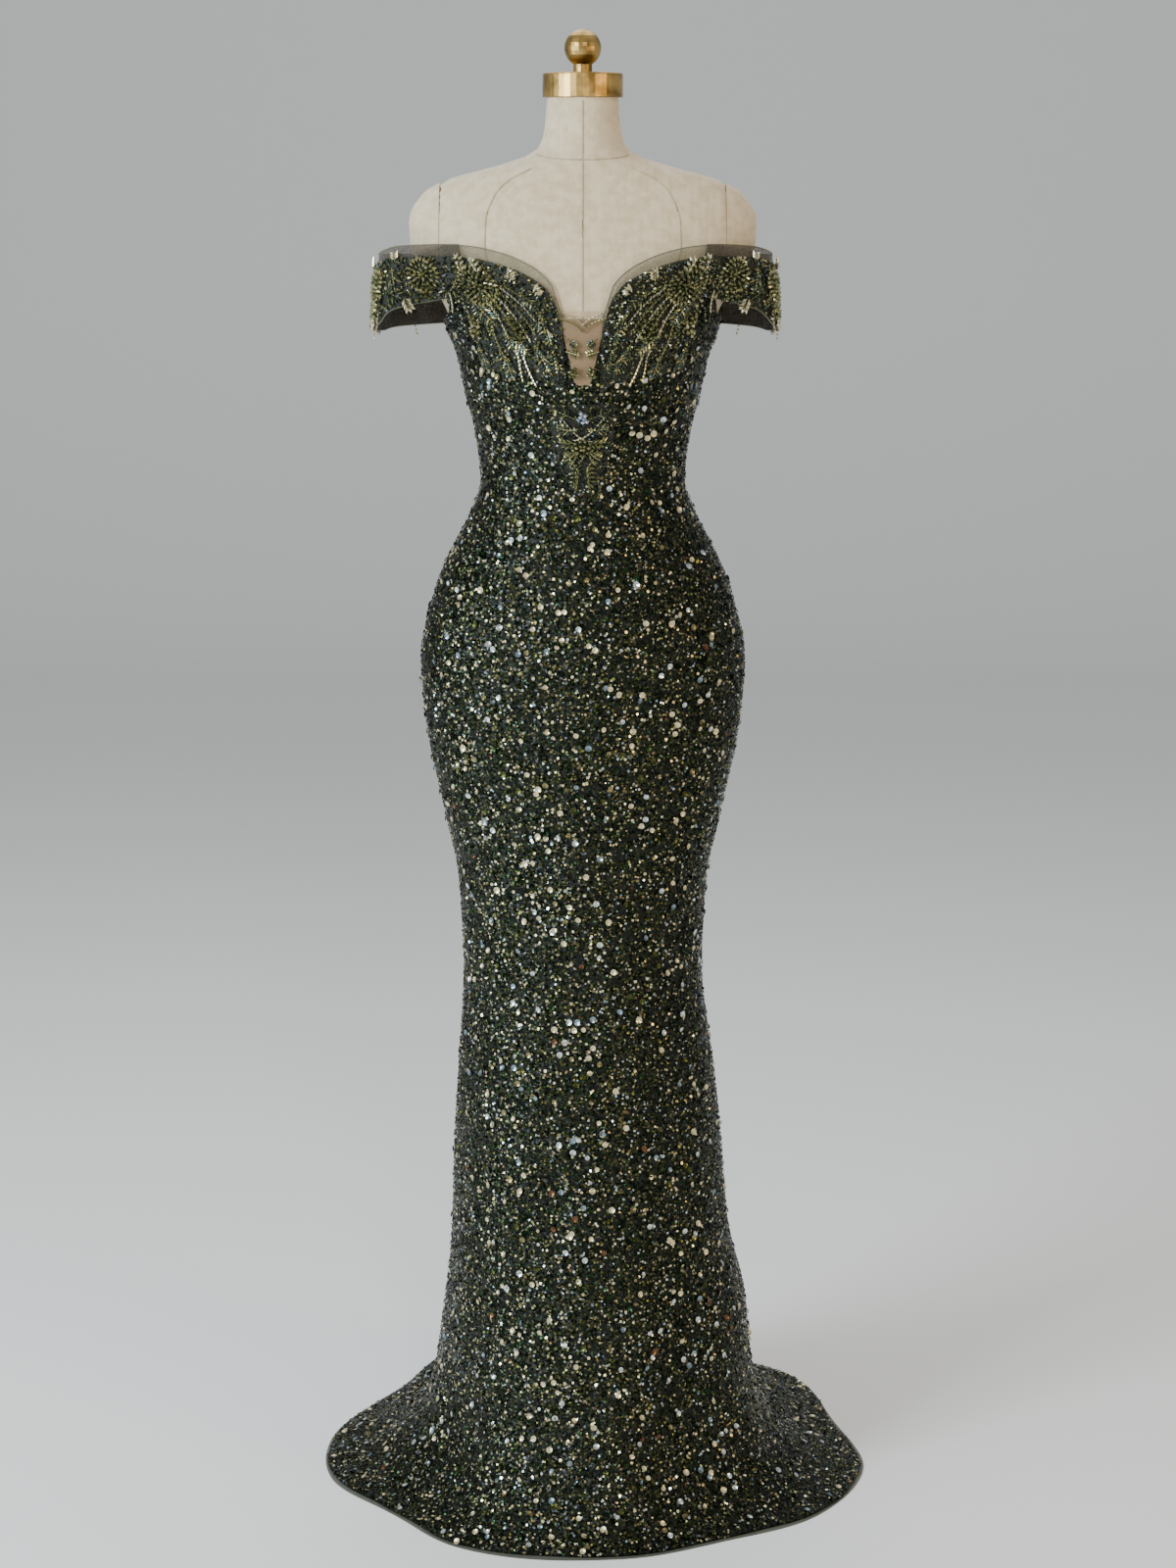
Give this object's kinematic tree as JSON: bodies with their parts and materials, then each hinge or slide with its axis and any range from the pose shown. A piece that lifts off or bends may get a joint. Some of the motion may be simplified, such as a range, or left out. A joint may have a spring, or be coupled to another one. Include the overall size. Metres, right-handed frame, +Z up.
{
  "type": "evening gown on a dress form",
  "caption": "Floor-length off-the-shoulder trumpet gown of sequinned net with beaded lace and a short train, on a limbless linen dress form with a brass neck cap and a weighted foot.",
  "frame": {"origin": "centre of the underside of the dress form's round foot, on the floor under its pole", "axes": "+Z up, -Y the gown's front, +X to the right of someone who faces its front"},
  "size_m": [0.646, 0.7272, 1.676],
  "materials": {
    "sequin_net": "dark green sequins and beads on net",
    "beaded_lace": "olive and gold-green beads on lace",
    "tulle": "sheer grey-green tulle",
    "nude_mesh": "matt nude mesh",
    "satin": "dark olive satin lining",
    "linen": "natural plain-weave linen",
    "brass": "brushed and lacquered",
    "stand_steel": "black powder coat",
    "zip_metal": "dark green enamel"
  },
  "bodies": {
    "gown_on_form": {"front_centre": "sequin_net", "front_side_left": "sequin_net", "front_side_right": "sequin_net", "back_side_left": "sequin_net", "back_side_right": "sequin_net", "back_left": "sequin_net", "back_right": "sequin_net", "neckline_inset": "nude_mesh", "sheer_edge_front_left": "tulle", "sheer_edge_front_right": "tulle", "sheer_edge_back_left": "tulle", "sheer_edge_back_right": "tulle", "sleeve_left": "tulle", "sleeve_right": "tulle", "lace_bust_left": "beaded_lace", "lace_bust_right": "beaded_lace", "lace_waist": "beaded_lace", "lace_sleeve_left": "beaded_lace", "lace_sleeve_right": "beaded_lace", "hem_lining": "satin", "zip_slider": "zip_metal", "form_torso": "linen", "form_shoulder_cap_left": "linen", "form_shoulder_cap_right": "linen", "form_neck_cap": "brass", "form_finial": "brass", "stand_pole": "stand_steel", "stand_base": "stand_steel"},
    "zip_pull_tab": {"zip_pull": "zip_metal"}
  },
  "joints": [
    {"name": "zip_pull_swing", "type": "hinge", "parent": "gown_on_form", "child": "zip_pull_tab", "pos_m": [0, 0.11025, 1.3715], "axis": [1, 0, 0], "range_deg": [0, 165]}
  ]
}
